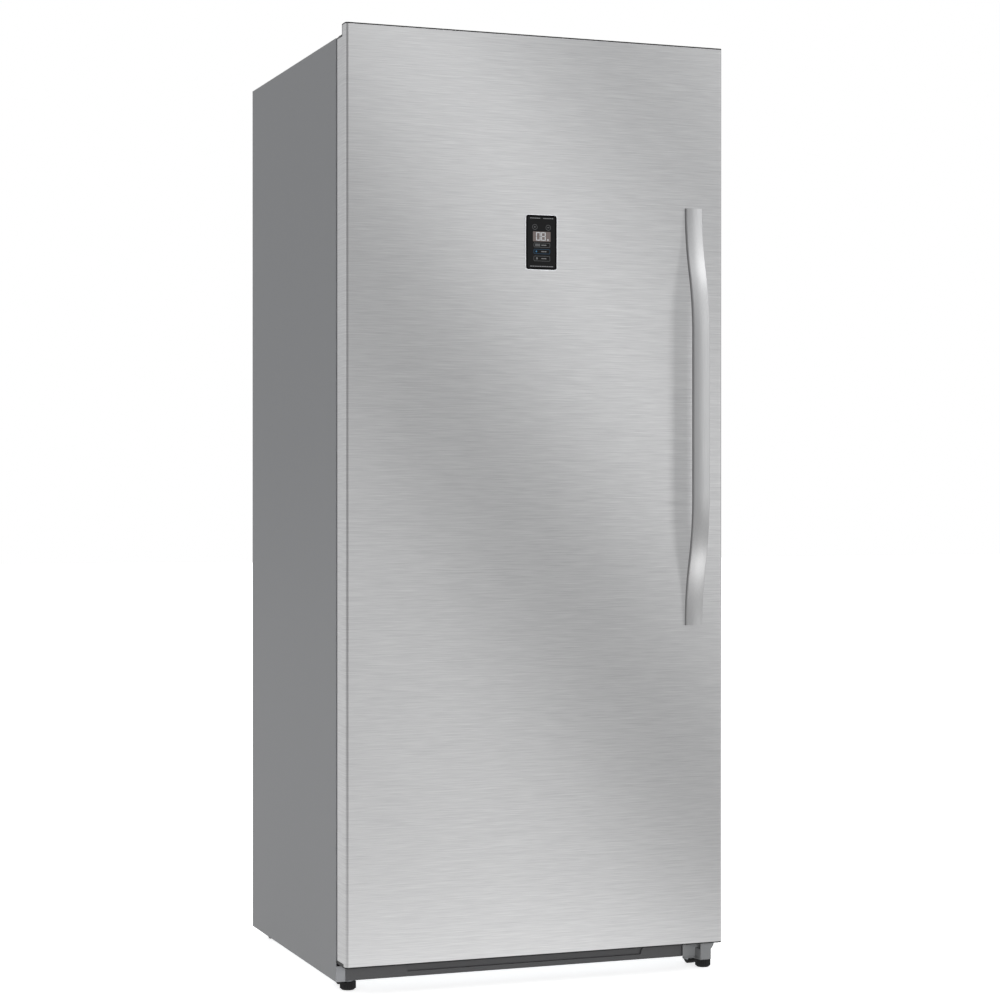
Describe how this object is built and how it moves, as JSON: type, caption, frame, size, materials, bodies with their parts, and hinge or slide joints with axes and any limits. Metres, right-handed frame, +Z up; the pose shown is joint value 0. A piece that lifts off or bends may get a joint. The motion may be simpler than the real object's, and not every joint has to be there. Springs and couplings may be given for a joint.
{
  "type": "upright freezer",
  "caption": "Tall single-door upright freezer with a bowed vertical handle, a small control panel, shelves, a drawer, a basket and door bins.",
  "frame": {"origin": "on the floor, under the middle of the overall box", "axes": "+X to the right seen from the front, +Y to the back, +Z up; the door faces -Y"},
  "size_m": [0.825, 0.7864, 1.939],
  "materials": {
    "stainless_wrap": "satin",
    "handle_steel": "satin",
    "bezel_metal": "polished",
    "grey_enamel": "satin",
    "zinc_sheet": "satin",
    "dark_enamel": "satin",
    "bracket_enamel": "satin",
    "plated_steel": "satin",
    "rigid_foam": "matte",
    "white_liner": "gloss",
    "dark_cap": "matte",
    "gasket_vinyl": "matte",
    "clear_tray": "gloss",
    "white_basket": "gloss",
    "shelf_glass": "gloss",
    "trim_plastic": "gloss",
    "lamp_lens": "gloss",
    "fascia_gloss": "gloss",
    "circuit_board": "matte",
    "black_enamel": "gloss",
    "copper": "satin",
    "fin_aluminium": "satin",
    "heater_sheath": "satin",
    "motor_plastic": "matte",
    "fan_plastic": "matte",
    "nylon": "satin",
    "roller_nylon": "matte",
    "foot_plastic": "matte"
  },
  "bodies": {
    "cabinet": {"side_panel_left": "grey_enamel", "side_panel_right": "grey_enamel", "top_panel": "grey_enamel", "back_panel": "zinc_sheet", "bottom_plate": "zinc_sheet", "front_rail": "grey_enamel", "kick_plate": "dark_enamel", "cabinet_foam": "rigid_foam", "inner_liner": "white_liner", "machine_bay_liner": "zinc_sheet", "machine_bay_cover": "zinc_sheet", "cabinet_screws": "plated_steel", "compressor": "black_enamel", "compressor_mounts": "gasket_vinyl", "drain_pan": "motor_plastic", "refrigerant_pipes": "copper", "condenser_loops": "copper", "cord_gland": "motor_plastic", "evaporator_coil": "fin_aluminium", "defrost_heater": "heater_sheath", "duct_cover": "white_liner", "fan_motor": "motor_plastic", "lower_hinge": "dark_enamel", "upper_hinge": "bracket_enamel", "hinge_pins": "plated_steel", "hinge_cover": "dark_cap", "right_foot_bracket": "bracket_enamel", "roller_frames": "zinc_sheet", "glass_shelves": "shelf_glass", "shelf_trims": "trim_plastic", "drawer_runners": "white_liner", "led_lamp": "lamp_lens", "door_switch_body": "white_liner"},
    "door": {"door_skin": "stainless_wrap", "door_top_cap": "dark_cap", "door_bottom_cap": "dark_cap", "door_foam": "rigid_foam", "door_liner": "white_liner", "door_gasket": "gasket_vinyl", "hinge_bushings": "nylon", "door_bin_1": "clear_tray", "door_bin_2": "clear_tray", "door_bin_3": "clear_tray", "door_bin_4": "clear_tray", "door_bin_5": "clear_tray", "door_handle": "handle_steel", "handle_screws": "plated_steel", "control_bezel": "bezel_metal", "control_fascia": "fascia_gloss", "display_board": "circuit_board"},
    "fan_blade": {"fan_blade": "fan_plastic"},
    "levelling_foot_left": {"levelling_foot_left": "foot_plastic"},
    "levelling_foot_right": {"levelling_foot_right": "foot_plastic"},
    "front_roller_left": {"front_roller_left": "roller_nylon"},
    "front_roller_right": {"front_roller_right": "roller_nylon"},
    "rear_roller_left": {"rear_roller_left": "roller_nylon"},
    "rear_roller_right": {"rear_roller_right": "roller_nylon"},
    "door_switch_plunger": {"door_switch_plunger": "white_liner"},
    "lower_basket": {"lower_basket": "white_basket"},
    "freezer_drawer": {"freezer_drawer": "clear_tray"}
  },
  "joints": [
    {"name": "door_swing", "type": "hinge", "parent": "cabinet", "child": "door", "pos_m": [-0.3905, -0.31025, 1], "axis": [0, 0, -1], "range_deg": [0, 110]},
    {"name": "drawer_slide", "type": "slide", "parent": "cabinet", "child": "freezer_drawer", "axis": [0, -1, 0], "range_m": [0, 0.25]},
    {"name": "basket_slide", "type": "slide", "parent": "cabinet", "child": "lower_basket", "axis": [0, -1, 0], "range_m": [0, 0.18]},
    {"name": "switch_travel", "type": "slide", "parent": "cabinet", "child": "door_switch_plunger", "axis": [0, -1, 0], "range_m": [0, 0.005]},
    {"name": "fan_spin", "type": "hinge", "parent": "cabinet", "child": "fan_blade", "pos_m": [0, 0.27825, 0.73], "axis": [0, 1, 0], "continuous": true},
    {"name": "left_foot_screw", "type": "slide", "parent": "cabinet", "child": "levelling_foot_left", "axis": [0, 0, -1], "range_m": [0, 0.012]},
    {"name": "right_foot_screw", "type": "slide", "parent": "cabinet", "child": "levelling_foot_right", "axis": [0, 0, -1], "range_m": [0, 0.012]},
    {"name": "front_roller_left_turn", "type": "hinge", "parent": "cabinet", "child": "front_roller_left", "pos_m": [-0.381, -0.20725, 0.0185], "axis": [1, 0, 0], "continuous": true},
    {"name": "front_roller_right_turn", "type": "hinge", "parent": "cabinet", "child": "front_roller_right", "pos_m": [0.381, -0.25325, 0.0185], "axis": [1, 0, 0], "continuous": true},
    {"name": "rear_roller_left_turn", "type": "hinge", "parent": "cabinet", "child": "rear_roller_left", "pos_m": [-0.381, 0.33325, 0.018], "axis": [1, 0, 0], "continuous": true},
    {"name": "rear_roller_right_turn", "type": "hinge", "parent": "cabinet", "child": "rear_roller_right", "pos_m": [0.381, 0.33325, 0.018], "axis": [1, 0, 0], "continuous": true}
  ],
  "couplings": [
    {"joint": "drawer_slide", "follows": "door_swing", "m_per_rad": 0.13017},
    {"joint": "basket_slide", "follows": "door_swing", "m_per_rad": 0.0937},
    {"joint": "switch_travel", "follows": "door_swing", "m_per_rad": 0.002599}
  ]
}
